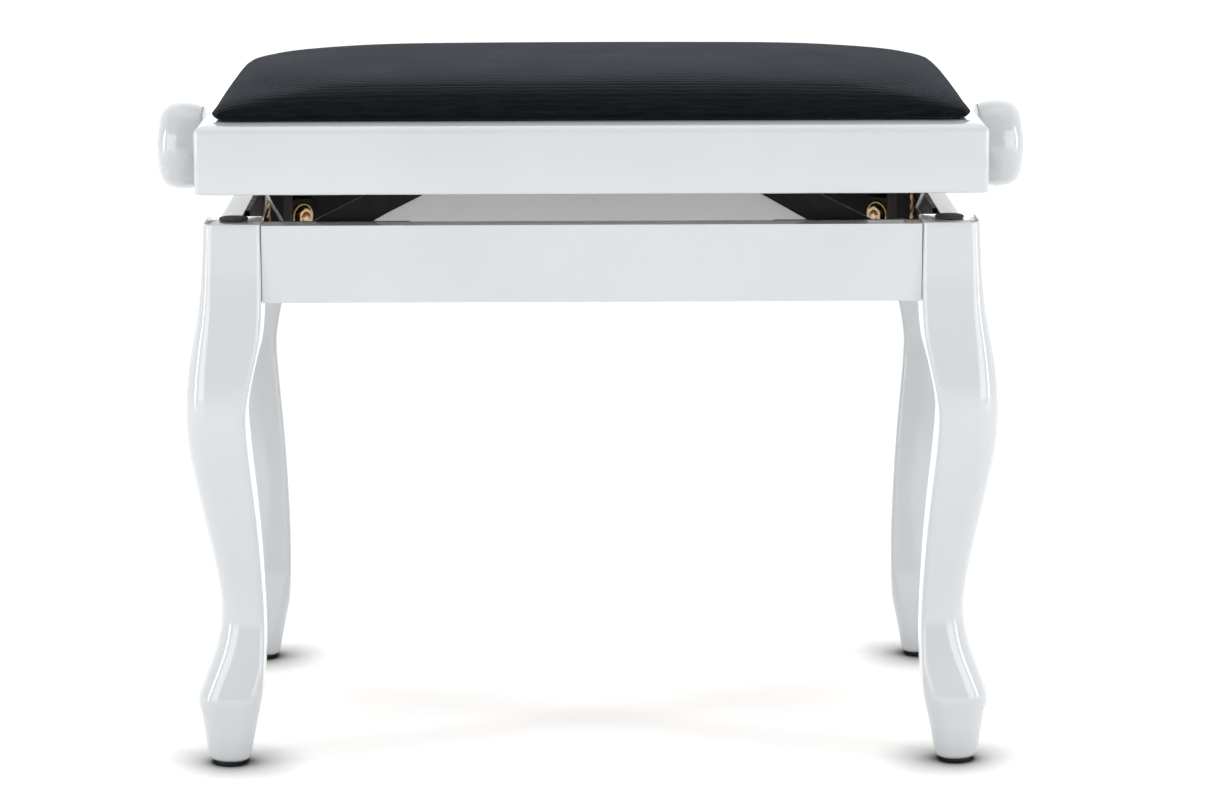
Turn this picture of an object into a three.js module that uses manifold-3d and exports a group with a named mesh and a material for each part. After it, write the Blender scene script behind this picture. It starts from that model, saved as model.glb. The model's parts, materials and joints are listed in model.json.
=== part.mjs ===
// Height adjustable piano bench: four cabriole legs and aprons, a mitred seat frame with a cushion,
// and a crossed-arm lift that a threaded spindle drives.
// Millimetres, +Z up, +X to the player's right. The origin is on the floor under the middle of the
// seat. The bench is drawn 18 mm above its lowest setting.
import * as THREE from "three";
import { mergeVertices } from "three/addons/utils/BufferGeometryUtils.js";
import Module from "manifold-3d";

// ---- driving dimensions ------------------------------------------------------------------------
const GAP = 0.3; // clearance kept between pieces that touch

// Seat frame
const SEAT_LENGTH = 540;
const SEAT_DEPTH = 324;
const SEAT_BOTTOM = 403.5;
const RAIL_TOP = 452;
const RAIL_ARRIS = 447; // where the plain face ends and the sloping moulding starts
const RAIL_WIDTH = 22;
const MOULDING_WIDTH = 12;
const BOARD_THICKNESS = 8;

// Cushion
const CUSHION_MARGIN = 13; // rail left bare around the cushion
const CUSHION_CORNER = 18;
const CUSHION_EDGE_HEIGHT = 26; // height of the crest above the rails
const CUSHION_CROWN = 29.5; // height in the middle

// Lower frame
const FRAME_LENGTH = 531; // over the posts
const FRAME_DEPTH = 314;
const POST_TOP = 382.7;
const POST_WIDTH = 39.5;
const APRON_DROP = 1; // the aprons stop this much below the post tops
const APRON_HEIGHT = 53.4;
const APRON_THICKNESS = 18.3;
const FRONT_APRON_RECESS = 1;
const SIDE_APRON_RECESS = 5;
const PAD_RADIUS = 10;
const PAD_HEIGHT = 2;
const GLIDE_RADIUS = 9.5;
const GLIDE_HEIGHT = 3;
const TOE_HEIGHT = 50;

// Lift mechanism
const PIVOT_X = 213; // outer pivots, each side of the middle
const LOW_PIVOT_Z = 373;
const HIGH_PIVOT_Z = 435;
const ARM_WIDTH = 18;
const ARM_THICKNESS = 4;
const ARM_EYE_RADIUS = 8; // round the pivots at both ends of an arm
const ARM_UNDERSIDE = 399.5; // of the level middle length
const ARM_HIGH_BEND_X = 163;
const ARM_LOW_BEND_X = -192;
const ARM_LOW_BEND_Z = 361;
const ARM_LOW_SLOPE = THREE.MathUtils.degToRad(26.8);
const ARM_FOOT_TOP = 376.5; // top edge of the short low end
const PLATE_THICKNESS = 3;
const PIN_RADIUS = 4;
const PIN_CLEARANCE = 0.3; // round a true pivot
const SLIDER_CLEARANCE = 0.8; // round an open pivot, which wanders by under 0.5 mm
const SLOT_INWARD = 22; // travel of the sliding ends from this setting
const SLOT_OUTWARD = 3;
const TUBE_RADIUS = 6;
const CROSSING_RADIUS = 2.5;
const CROSSING_NUT_ACROSS = 8;
const NUT_ACROSS = 12;
const NUT_THICKNESS = 5;

// Spindle and knobs
const SPINDLE_Z = 417;
const SPINDLE_RADIUS = 6;
const SPINDLE_BORE_GAP = 0.4;
const BUSH_RADIUS = 9;
const KNOB_RADIUS = 31.6;
const KNOB_START = 276.7; // inner face of each knob
const KNOB_LENGTH = 33;
const KNOB_BORE_DEPTH = 22;

// ---- derived places ----------------------------------------------------------------------------
const railOuterX = SEAT_LENGTH / 2;
const railOuterY = SEAT_DEPTH / 2;
const railInnerX = railOuterX - RAIL_WIDTH;
const railInnerY = railOuterY - RAIL_WIDTH;
const boardBottom = RAIL_TOP - GAP - BOARD_THICKNESS;
const postOuterX = FRAME_LENGTH / 2;
const postOuterY = FRAME_DEPTH / 2;
const apronTop = POST_TOP - APRON_DROP;
const apronBottom = apronTop - APRON_HEIGHT;
const apronInnerY = postOuterY - FRONT_APRON_RECESS - APRON_THICKNESS;
const apronInnerX = postOuterX - SIDE_APRON_RECESS - APRON_THICKNESS;
const armMidZ = (LOW_PIVOT_Z + HIGH_PIVOT_Z) / 2;
// The mechanism's layers, counted inwards from the front and rear rails
const lowPlateY = apronInnerY - GAP; // outer face of the gusset plates on the aprons
const highPlateY = railInnerY - GAP; // outer face of the brackets on the seat rails
const lowArmY = lowPlateY - PLATE_THICKNESS - 1; // outer face of the arms hinged on the lower frame
const highArmY = lowArmY - ARM_THICKNESS - 0.5; // outer face of the arms hinged on the seat

// ---- finishes ----------------------------------------------------------------------------------
const finish = (color, roughness, metalness) => ({ color, roughness, metalness });
const LACQUER = finish(0xe9ecec, 0.08, 0);
const VELOUR = finish(0x17191d, 0.95, 0);
const PLYWOOD = finish(0xc8a878, 0.7, 0);
const STAINED_PINE = finish(0x2c2723, 0.75, 0);
const BLACK_STEEL = finish(0x1b1b1d, 0.45, 0.6);
const YELLOW_ZINC = finish(0xc9a24a, 0.3, 1);
const BRIGHT_STEEL = finish(0xb8babd, 0.3, 1);
const RUBBER = finish(0x151515, 0.8, 0);
const BLACK_PLASTIC = finish(0x202022, 0.5, 0);

const bench = new THREE.Group();

function addPart(name, geometry, look) {
  const mesh = new THREE.Mesh(geometry, new THREE.MeshStandardMaterial(look));
  mesh.name = name;
  bench.add(mesh);
  return mesh;
}

// ---- solids ------------------------------------------------------------------------------------
const wasm = await Module();
wasm.setup();

function bare(geometry) {
  const copy = geometry.clone();
  copy.deleteAttribute("normal");
  copy.deleteAttribute("uv");
  return mergeVertices(copy, 1e-4);
}

function toManifold(geometry) {
  const merged = bare(geometry);
  const vertProperties = new Float32Array(merged.attributes.position.array);
  const triVerts = new Uint32Array(merged.index.array);
  return new wasm.Manifold(new wasm.Mesh({ numProp: 3, vertProperties, triVerts }));
}

function toGeometry(solid) {
  const mesh = solid.getMesh();
  const geometry = new THREE.BufferGeometry();
  geometry.setAttribute("position", new THREE.BufferAttribute(mesh.vertProperties, 3));
  geometry.setIndex(new THREE.BufferAttribute(mesh.triVerts, 1));
  return geometry;
}

function cut(body, ...tools) {
  return toGeometry(tools.reduce((left, tool) => left.subtract(toManifold(tool)), toManifold(body)));
}

function join(...bodies) {
  const solids = bodies.map(toManifold);
  return toGeometry(solids.reduce((whole, next) => whole.add(next)));
}

// A box between two corners.
function block(low, high) {
  const size = high.map((value, axis) => value - low[axis]);
  const geometry = new THREE.BoxGeometry(...size);
  return geometry.translate(...size.map((length, axis) => low[axis] + length / 2));
}

// A round bar along X or Y, from `start` to `end` on that axis.
function barAlongX(radius, start, end, y, z, sides = 16) {
  const geometry = new THREE.CylinderGeometry(radius, radius, end - start, sides);
  return geometry.rotateZ(Math.PI / 2).translate((start + end) / 2, y, z);
}

function barAlongY(radius, start, end, x, z, sides = 16) {
  const geometry = new THREE.CylinderGeometry(radius, radius, end - start, sides);
  return geometry.translate(x, (start + end) / 2, z);
}

// A flat plate drawn in X and Z, lying between two Y values.
function plateXZ(shape, lowY, highY, curveSegments = 6) {
  const geometry = new THREE.ExtrudeGeometry(shape, {
    depth: highY - lowY,
    bevelEnabled: false,
    curveSegments,
  });
  return geometry.rotateX(Math.PI / 2).translate(0, highY, 0);
}

// A hole for a plate: round, or a slot reaching `reach` each way along X.
function roundHole(x, z, radius, leftReach = 0, rightReach = 0) {
  const hole = new THREE.Path();
  hole.absarc(x + rightReach, z, radius, -Math.PI / 2, Math.PI / 2, false);
  hole.absarc(x - leftReach, z, radius, Math.PI / 2, (3 * Math.PI) / 2, false);
  hole.closePath();
  return hole;
}

// Turns a capped cylinder grid into a solid with a rounded-rectangle section at every height.
// `sectionAt(t)` gives z, the four sides and the four corner radii, with t from 0 at the bottom.
const CORNER_STEPS = 4;
const RING_POINTS = 4 * (CORNER_STEPS + 1);

function loft(levels, sectionAt) {
  const grid = bare(new THREE.CylinderGeometry(1, 1, 1, RING_POINTS, levels));
  const position = grid.attributes.position;
  for (let i = 0; i < position.count; i += 1) {
    const [across, height, along] = [position.getX(i), position.getY(i), position.getZ(i)];
    const section = sectionAt(height + 0.5);
    const middleX = (section.lowX + section.highX) / 2;
    const middleY = (section.lowY + section.highY) / 2;
    if (Math.hypot(across, along) < 0.5) {
      position.setXYZ(i, middleX, middleY, section.z);
      continue;
    }
    const turn = (Math.atan2(across, along) / (2 * Math.PI)) * RING_POINTS;
    const index = (Math.round(turn) + RING_POINTS) % RING_POINTS;
    const corner = Math.floor(index / (CORNER_STEPS + 1));
    const step = index % (CORNER_STEPS + 1);
    const angle = (corner + step / CORNER_STEPS) * (Math.PI / 2);
    const radius = section.radii[corner];
    const edgeX = corner === 0 || corner === 3 ? section.highX - radius : section.lowX + radius;
    const edgeY = corner < 2 ? section.highY - radius : section.lowY + radius;
    position.setXYZ(i, edgeX + radius * Math.cos(angle), edgeY + radius * Math.sin(angle), section.z);
  }
  return grid;
}

// Flips a geometry to the other side of the bench, keeping its faces outwards.
function mirrored(geometry, signX, signY) {
  const copy = geometry.clone().scale(signX, signY, 1);
  if (signX * signY < 0) {
    const index = copy.index.array;
    for (let i = 0; i < index.length; i += 3) {
      [index[i], index[i + 1]] = [index[i + 1], index[i]];
    }
  }
  return copy;
}

// ---- legs --------------------------------------------------------------------------------------
// Height, outward offset of the outer side and of the inner side, both from the post's outer face.
const LEG_CURVE = [
  [TOE_HEIGHT, 10.1, -34.7],
  [64, 5.7, -35.7],
  [84, -2.1, -36.3],
  [104, -5.5, -36.3],
  [130, -3.9, -35.5],
  [165, 2.3, -33.7],
  [200, 8.8, -31],
  [228, 13.3, -28.5],
  [252, 14.3, -27.7],
  [275, 12.7, -31.5],
  [300, 8.7, -37.2],
  [325, 4.2, -39.2],
  [350, 1.8, -39.5],
  [POST_TOP, 0, -POST_WIDTH],
];
const SOLE_OUTER = 4.1;
const SOLE_INNER = -25;
const legOuter = new THREE.SplineCurve(LEG_CURVE.map(([z, outer]) => new THREE.Vector2(z, outer)));
const legInner = new THREE.SplineCurve(LEG_CURVE.map(([z, , inner]) => new THREE.Vector2(z, inner)));
const LEG_LEVELS = 21;
const TOE_LEVELS = 3;

function legSection(t) {
  const level = Math.round(t * LEG_LEVELS);
  if (level <= TOE_LEVELS) {
    const rise = level / TOE_LEVELS;
    const [, toeOuter, toeInner] = LEG_CURVE[0];
    return {
      z: THREE.MathUtils.lerp(GLIDE_HEIGHT + GAP, TOE_HEIGHT, rise),
      outer: THREE.MathUtils.lerp(SOLE_OUTER, toeOuter, rise),
      inner: THREE.MathUtils.lerp(SOLE_INNER, toeInner, rise),
      roundness: THREE.MathUtils.lerp(13, 12, rise),
    };
  }
  const climb = (level - TOE_LEVELS) / (LEG_LEVELS - TOE_LEVELS);
  const outerPoint = legOuter.getPoint(climb);
  return {
    z: outerPoint.x,
    outer: outerPoint.y,
    inner: legInner.getPoint(climb).y,
    roundness: THREE.MathUtils.lerp(12, 7, climb),
  };
}

const INNER_EDGE_RADIUS = 4;
const leg = loft(LEG_LEVELS, (t) => {
  const { z, outer, inner, roundness } = legSection(t);
  const sideRadius = z < TOE_HEIGHT ? roundness : INNER_EDGE_RADIUS;
  return {
    z,
    lowX: postOuterX + inner,
    highX: postOuterX + outer,
    lowY: postOuterY + inner,
    highY: postOuterY + outer,
    radii: [roundness, sideRadius, INNER_EDGE_RADIUS, sideRadius],
  };
});

const soleX = postOuterX + (SOLE_OUTER + SOLE_INNER) / 2;
const soleY = postOuterY + (SOLE_OUTER + SOLE_INNER) / 2;
const postMiddleX = postOuterX - POST_WIDTH / 2;
const postMiddleY = postOuterY - POST_WIDTH / 2;

function disc(radius, lowZ, highZ, x, y) {
  const geometry = new THREE.CylinderGeometry(radius, radius, highZ - lowZ, 24);
  return geometry.rotateX(Math.PI / 2).translate(x, y, (lowZ + highZ) / 2);
}

for (const [endY, signY] of [["front", -1], ["rear", 1]]) {
  for (const [endX, signX] of [["left", -1], ["right", 1]]) {
    const corner = `${endY}_${endX}`;
    addPart(`leg_${corner}`, mirrored(leg, signX, signY), LACQUER);
    addPart(`glide_${corner}`, disc(GLIDE_RADIUS, 0, GLIDE_HEIGHT, signX * soleX, signY * soleY), RUBBER);
    const padLow = POST_TOP + GAP;
    const pad = disc(PAD_RADIUS, padLow, padLow + PAD_HEIGHT, signX * postMiddleX, signY * postMiddleY);
    addPart(`bump_pad_${corner}`, pad, RUBBER);
  }
}

// ---- aprons and corner blocks ------------------------------------------------------------------
const postInnerX = postOuterX - POST_WIDTH;
const postInnerY = postOuterY - POST_WIDTH;
for (const [end, sign] of [["front", -1], ["rear", 1]]) {
  const outer = sign * (postOuterY - FRONT_APRON_RECESS);
  const inner = sign * apronInnerY;
  const low = [GAP - postInnerX, Math.min(outer, inner), apronBottom];
  const high = [postInnerX - GAP, Math.max(outer, inner), apronTop];
  addPart(`apron_${end}`, block(low, high), LACQUER);
}
for (const [end, sign] of [["left", -1], ["right", 1]]) {
  const outer = sign * (postOuterX - SIDE_APRON_RECESS);
  const inner = sign * apronInnerX;
  const low = [Math.min(outer, inner), GAP - postInnerY, apronBottom];
  const high = [Math.max(outer, inner), postInnerY - GAP, apronTop];
  addPart(`apron_${end}`, block(low, high), LACQUER);
}

// An upright block glued behind each post, with its inner corner cut off.
const BLOCK_HEIGHT = 46;
const BLOCK_X = 19.5;
const BLOCK_Y = 32;
const BLOCK_CUT = 5;
const blockOuterX = apronInnerX - GAP;
const blockOuterY = postInnerY - GAP;
const blockOutline = new THREE.Shape([
  new THREE.Vector2(blockOuterX, blockOuterY),
  new THREE.Vector2(blockOuterX - BLOCK_X, blockOuterY),
  new THREE.Vector2(blockOuterX - BLOCK_X, blockOuterY - BLOCK_Y + BLOCK_CUT),
  new THREE.Vector2(blockOuterX - BLOCK_X + BLOCK_CUT, blockOuterY - BLOCK_Y),
  new THREE.Vector2(blockOuterX, blockOuterY - BLOCK_Y),
]);
const blockSolid = new THREE.ExtrudeGeometry(blockOutline, { depth: BLOCK_HEIGHT, bevelEnabled: false });
const cornerBlock = bare(blockSolid.translate(0, 0, apronBottom + GAP));
for (const [endY, signY] of [["front", -1], ["rear", 1]]) {
  for (const [endX, signX] of [["left", -1], ["right", 1]]) {
    addPart(`corner_block_${endY}_${endX}`, mirrored(cornerBlock, signX, signY), STAINED_PINE);
  }
}

// ---- seat frame --------------------------------------------------------------------------------
// Section of a rail: distance in from the outer face, and height.
const ARRIS_ROUND = 1.5;
const railSection = new THREE.Shape();
railSection.moveTo(ARRIS_ROUND, SEAT_BOTTOM);
railSection.quadraticCurveTo(0, SEAT_BOTTOM, 0, SEAT_BOTTOM + ARRIS_ROUND);
railSection.lineTo(0, RAIL_ARRIS - ARRIS_ROUND);
railSection.quadraticCurveTo(0, RAIL_ARRIS, ARRIS_ROUND, RAIL_ARRIS + 0.6);
railSection.quadraticCurveTo(MOULDING_WIDTH * 0.6, RAIL_TOP - 0.6, MOULDING_WIDTH, RAIL_TOP);
railSection.lineTo(RAIL_WIDTH, RAIL_TOP);
railSection.lineTo(RAIL_WIDTH, SEAT_BOTTOM);
railSection.closePath();

// A mitred rail along X, its outer face at y = -outerY.
function rail(halfLength, outerY) {
  const bar = new THREE.ExtrudeGeometry(railSection, { depth: 2, bevelEnabled: false, curveSegments: 5 });
  const position = bar.attributes.position;
  for (let i = 0; i < position.count; i += 1) {
    const inset = position.getX(i);
    const height = position.getY(i);
    const end = position.getZ(i) - 1;
    position.setXYZ(i, end * (halfLength - inset - GAP / 2), inset - outerY, height);
  }
  return bare(bar);
}

const frontRail = rail(railOuterX, railOuterY);
const endRail = rail(railOuterY, railOuterX);
addPart("seat_rail_front", frontRail, LACQUER);
addPart("seat_rail_rear", frontRail.clone().rotateZ(Math.PI), LACQUER);
const CUT_OVERRUN = 5; // how far a cutting bar stands out of what it cuts
const spindleHole = (sign) => {
  const ends = [railInnerX - CUT_OVERRUN, railOuterX + CUT_OVERRUN].map((x) => sign * x);
  return barAlongX(BUSH_RADIUS + GAP, Math.min(...ends), Math.max(...ends), 0, SPINDLE_Z, 24);
};
addPart("seat_rail_left", cut(endRail.clone().rotateZ(-Math.PI / 2), spindleHole(-1)), LACQUER);
addPart("seat_rail_right", cut(endRail.clone().rotateZ(Math.PI / 2), spindleHole(1)), LACQUER);

const boardX = railInnerX - GAP;
const boardY = railInnerY - GAP;
const boardLow = [-boardX, -boardY, boardBottom];
addPart("seat_board", block(boardLow, [boardX, boardY, RAIL_TOP - GAP]), PLYWOOD);

// ---- cushion -----------------------------------------------------------------------------------
// Inset from the cushion's widest outline, and share of the crest height.
const cushionProfile = new THREE.SplineCurve([
  new THREE.Vector2(3, 0),
  new THREE.Vector2(0, 5),
  new THREE.Vector2(4, 15),
  new THREE.Vector2(9, 20.5),
  new THREE.Vector2(17, 24.2),
  new THREE.Vector2(32, CUSHION_EDGE_HEIGHT),
  new THREE.Vector2(60, (CUSHION_EDGE_HEIGHT + CUSHION_CROWN) / 2),
  new THREE.Vector2(110, CUSHION_CROWN),
]);
const cushionX = railOuterX - CUSHION_MARGIN;
const cushionY = railOuterY - CUSHION_MARGIN;
const cushion = loft(12, (t) => {
  const { x: inset, y: height } = cushionProfile.getPoint(t);
  const radius = Math.max(CUSHION_CORNER - inset * 0.5, 6);
  return {
    z: RAIL_TOP + GAP + height,
    lowX: inset - cushionX,
    highX: cushionX - inset,
    lowY: inset - cushionY,
    highY: cushionY - inset,
    radii: [radius, radius, radius, radius],
  };
});
addPart("cushion", cushion, VELOUR);

// ---- plates that carry the pivots --------------------------------------------------------------
const GUSSET_LENGTH = 99;
const GUSSET_NOSE_Z = 363; // height where the sloping inner end meets the upright one
const GUSSET_SLOPE_RUN = 54; // length of the sloping end along X
const GUSSET_POST_GAP = 2;
const GUSSET_BOTTOM_GAP = 4; // from the bottom of the aprons
const BRACKET_OUTWARD = 20; // reach of the seat brackets from the pivots
const BRACKET_INWARD = 50;
const BRACKET_DROP = 12;
const BRACKET_CUT = 6; // corner cut off the inner end
const BOLT_X = 216.5;
const BOLT_Z = 346;
const BOLT_RADIUS = 3;
const gussetOuterX = postInnerX - GUSSET_POST_GAP;
const gussetInnerX = gussetOuterX - GUSSET_LENGTH;
const gussetBottom = apronBottom + GUSSET_BOTTOM_GAP;
const slotRadius = PIN_RADIUS + SLIDER_CLEARANCE;

function plateOutline(corners, side, holes) {
  const shape = new THREE.Shape(corners.map(([x, z]) => new THREE.Vector2(side * x, z)));
  shape.holes.push(...holes);
  return shape;
}

// Plate on an apron's inner face. `side` is -1 left, 1 right.
function gussetOutline(side, holes) {
  const corners = [
    [gussetOuterX, gussetBottom],
    [gussetInnerX + GUSSET_SLOPE_RUN, gussetBottom],
    [gussetInnerX, GUSSET_NOSE_Z],
    [gussetInnerX, apronTop],
    [gussetOuterX, apronTop],
  ];
  return plateOutline(corners, side, holes);
}

// Bracket inside a seat rail, round the high ends of the arms.
function bracketOutline(side, holes) {
  const low = HIGH_PIVOT_Z - BRACKET_DROP;
  const high = boardBottom - GAP;
  const [innerX, outerX] = [PIVOT_X - BRACKET_INWARD, PIVOT_X + BRACKET_OUTWARD];
  const corners = [
    [outerX, low],
    [innerX + BRACKET_CUT, low],
    [innerX, low + BRACKET_CUT],
    [innerX, high],
    [outerX, high],
  ];
  return plateOutline(corners, side, holes);
}

// The mechanism is drawn on the front side (y < 0) and mirrored to the rear.
const mechanismEnds = [["front", 1], ["rear", -1]];
const toEnd = (geometry, signY) => mirrored(bare(geometry), 1, signY);
const plateAt = (outline, depthY, thickness) => plateXZ(outline, -depthY, thickness - depthY);

function hexNut(x, z, y, across) {
  const radius = across / 2 / Math.cos(Math.PI / 6);
  return barAlongY(radius, y, y + NUT_THICKNESS, x, z, 6);
}

// A stud that stands on a plate at `fromY`, with a lock nut from `faceY` inwards.
const STUD_TAIL = 2; // thread that shows past the nut
function nutStud(x, z, radius, fromY, faceY, across = NUT_ACROSS) {
  const tip = faceY + NUT_THICKNESS + STUD_TAIL;
  return join(barAlongY(radius, fromY, tip, x, z), hexNut(x, z, faceY, across));
}

const boltHole = (side) => roundHole(side * BOLT_X, BOLT_Z, BOLT_RADIUS + GAP);
const lowSlot = roundHole(PIVOT_X, LOW_PIVOT_Z, slotRadius, SLOT_INWARD, SLOT_OUTWARD);
const highSlot = roundHole(PIVOT_X, HIGH_PIVOT_Z, slotRadius, SLOT_INWARD, SLOT_OUTWARD);
const lowPlateFace = PLATE_THICKNESS - lowPlateY + GAP;
const highPlateFace = PLATE_THICKNESS - highPlateY + GAP;
const lowNutFace = ARM_THICKNESS - lowArmY + GAP;
const highNutFace = ARM_THICKNESS - highArmY + GAP;

for (const [end, signY] of mechanismEnds) {
  const gusset = (side, holes) => plateAt(gussetOutline(side, holes), lowPlateY, PLATE_THICKNESS);
  const bracket = (side, holes) => plateAt(bracketOutline(side, holes), highPlateY, PLATE_THICKNESS);
  const add = (name, geometry, look) => addPart(name, toEnd(geometry, signY), look);
  add(`gusset_plate_${end}_left`, gusset(-1, [boltHole(-1)]), BLACK_STEEL);
  add(`gusset_plate_${end}_right`, gusset(1, [boltHole(1), lowSlot]), BLACK_STEEL);
  add(`seat_bracket_${end}_left`, bracket(-1, []), BLACK_STEEL);
  add(`seat_bracket_${end}_right`, bracket(1, [highSlot]), BLACK_STEEL);
  for (const [side, sign] of [["left", -1], ["right", 1]]) {
    const bolt = nutStud(sign * BOLT_X, BOLT_Z, BOLT_RADIUS, GAP - apronInnerY, lowPlateFace);
    add(`gusset_bolt_${end}_${side}`, bolt, YELLOW_ZINC);
  }
  const lowStud = nutStud(-PIVOT_X, LOW_PIVOT_Z, PIN_RADIUS, lowPlateFace, lowNutFace);
  add(`low_pivot_stud_${end}`, lowStud, YELLOW_ZINC);
  const highStud = nutStud(-PIVOT_X, HIGH_PIVOT_Z, PIN_RADIUS, highPlateFace, highNutFace);
  add(`high_pivot_stud_${end}`, highStud, YELLOW_ZINC);
}

// Steel plates on the side aprons, which close the mechanism's frame.
const SIDE_PLATE_GAP = 2; // from the corner blocks
for (const [end, sign] of [["left", -1], ["right", 1]]) {
  const outer = apronInnerX - GAP;
  const xs = [sign * outer, sign * (outer - PLATE_THICKNESS)];
  const reach = postInnerY - BLOCK_Y - SIDE_PLATE_GAP;
  const low = [Math.min(...xs), -reach, gussetBottom];
  addPart(`side_plate_${end}`, block(low, [Math.max(...xs), reach, apronTop]), BLACK_STEEL);
}

// ---- lift arms ---------------------------------------------------------------------------------
// A flat bar from the low left pivot to the high right one, level along its middle length.
function armOutline(holes) {
  const levelTop = ARM_UNDERSIDE + ARM_WIDTH;
  const lowRun = Math.tan(ARM_LOW_SLOPE);
  const underX = (z) => ARM_LOW_BEND_X + (z - ARM_LOW_BEND_Z) / lowRun;
  const upperX = (z) => underX(z) - ARM_WIDTH / Math.sin(ARM_LOW_SLOPE);
  const highRise = HIGH_PIVOT_Z - (ARM_UNDERSIDE + levelTop) / 2;
  const highSlope = Math.atan2(highRise, PIVOT_X - ARM_HIGH_BEND_X);
  const shape = new THREE.Shape();
  shape.moveTo(ARM_LOW_BEND_X, ARM_LOW_BEND_Z);
  shape.lineTo(underX(ARM_UNDERSIDE), ARM_UNDERSIDE);
  shape.lineTo(ARM_HIGH_BEND_X, ARM_UNDERSIDE);
  const [eyeStart, eyeEnd] = [highSlope - Math.PI / 2, highSlope + Math.PI / 2];
  shape.absarc(PIVOT_X, HIGH_PIVOT_Z, ARM_EYE_RADIUS, eyeStart, eyeEnd, false);
  shape.lineTo(ARM_HIGH_BEND_X, levelTop);
  shape.lineTo(upperX(levelTop), levelTop);
  shape.lineTo(upperX(ARM_FOOT_TOP), ARM_FOOT_TOP);
  shape.absarc(-PIVOT_X, LOW_PIVOT_Z, ARM_EYE_RADIUS, Math.PI / 3, 1.5 * Math.PI, false);
  shape.closePath();
  shape.holes.push(...holes);
  return shape;
}

const lowEyeHole = roundHole(-PIVOT_X, LOW_PIVOT_Z, PIN_RADIUS + PIN_CLEARANCE);
const highEyeHole = roundHole(PIVOT_X, HIGH_PIVOT_Z, PIN_RADIUS + PIN_CLEARANCE);
const crossingHole = (clearance) => roundHole(0, armMidZ, CROSSING_RADIUS + clearance);
const lowArm = armOutline([lowEyeHole, highEyeHole, crossingHole(PIN_CLEARANCE)]);
const highArm = armOutline([highEyeHole, crossingHole(SLIDER_CLEARANCE)]);

// Welded to the low end of a high arm, and runs in the slot of the gusset plate.
const slidePinStart = GAP - lowPlateY;
const slidePin = barAlongY(PIN_RADIUS, slidePinStart, ARM_THICKNESS / 2 - highArmY, -PIVOT_X, LOW_PIVOT_Z);

// Pin through the crossing, with its head outside and a lock nut inside.
const HEAD_RADIUS = 4.4;
const HEAD_THICKNESS = 2.5;
const crossingHead = barAlongY(HEAD_RADIUS, -lowArmY - GAP - HEAD_THICKNESS, -lowArmY - GAP, 0, armMidZ);
const crossingStart = -lowArmY - HEAD_THICKNESS / 2;
const crossingStud = nutStud(0, armMidZ, CROSSING_RADIUS, crossingStart, highNutFace, CROSSING_NUT_ACROSS);
const crossingPin = join(crossingHead, crossingStud);

for (const [end, signY] of mechanismEnds) {
  const lowBar = bare(plateAt(lowArm, lowArmY, ARM_THICKNESS));
  const highBar = bare(join(plateAt(highArm, highArmY, ARM_THICKNESS), slidePin));
  addPart(`low_arm_${end}`, mirrored(lowBar, 1, signY), BLACK_STEEL);
  addPart(`high_arm_${end}`, mirrored(highBar, -1, signY), BLACK_STEEL);
  addPart(`crossing_pin_${end}`, toEnd(crossingPin, signY), YELLOW_ZINC);
}

// Tube between the low arms, its thinner ends running in the slots of the seat brackets.
const lowTubeReach = lowArmY - ARM_THICKNESS - GAP;
const lowTube = barAlongY(TUBE_RADIUS, -lowTubeReach, lowTubeReach, PIVOT_X, HIGH_PIVOT_Z);
const lowTubeEnds = barAlongY(PIN_RADIUS, GAP - highPlateY, highPlateY - GAP, PIVOT_X, HIGH_PIVOT_Z);
addPart("low_arm_tube", join(lowTube, lowTubeEnds), BLACK_STEEL);

// Thinner tube between the high arms, beside their hinge and over the spindle.
const HIGH_TUBE_RADIUS = 4;
const HIGH_TUBE_IN = 12; // from the hinge, towards the middle
const HIGH_TUBE_DROP = 2;
const highTubeReach = highArmY - ARM_THICKNESS - GAP;
const highTubeX = HIGH_TUBE_IN - PIVOT_X;
const highTubeZ = HIGH_PIVOT_Z - HIGH_TUBE_DROP;
const highTube = barAlongY(HIGH_TUBE_RADIUS, -highTubeReach, highTubeReach, highTubeX, highTubeZ);
addPart("high_arm_tube", highTube, BLACK_STEEL);

// ---- spindle, bushes, knobs and fork nut -------------------------------------------------------
const spindleReach = KNOB_START + KNOB_BORE_DEPTH - GAP;
const spindle = barAlongX(SPINDLE_RADIUS, -spindleReach, spindleReach, 0, SPINDLE_Z, 24);
addPart("spindle", spindle, BRIGHT_STEEL);

// Turns a profile of [radius, distance out from the middle] about the spindle's axis.
function turned(profile, sign, segments = 24) {
  const points = profile.map(([radius, out]) => new THREE.Vector2(radius, out));
  const solid = new THREE.LatheGeometry(points, segments);
  return bare(solid.rotateZ((-sign * Math.PI) / 2).translate(0, 0, SPINDLE_Z));
}

const BUSH_FLANGE = 12;
const BUSH_FLANGE_DEPTH = 2.5; // in from the rail's inner face
const bushBore = SPINDLE_RADIUS + SPINDLE_BORE_GAP;
const bushProfile = [
  [bushBore, railInnerX - BUSH_FLANGE_DEPTH],
  [BUSH_FLANGE, railInnerX - BUSH_FLANGE_DEPTH],
  [BUSH_FLANGE, railInnerX - GAP],
  [BUSH_RADIUS, railInnerX - GAP],
  [BUSH_RADIUS, railOuterX],
  [bushBore, railOuterX],
  [bushBore, railInnerX - BUSH_FLANGE_DEPTH],
];
const FERRULE_RADIUS = 11;
const ferruleProfile = [
  [SPINDLE_RADIUS + GAP, railOuterX + GAP],
  [FERRULE_RADIUS, railOuterX + GAP],
  [FERRULE_RADIUS, KNOB_START - GAP],
  [SPINDLE_RADIUS + GAP, KNOB_START - GAP],
  [SPINDLE_RADIUS + GAP, railOuterX + GAP],
];
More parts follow.
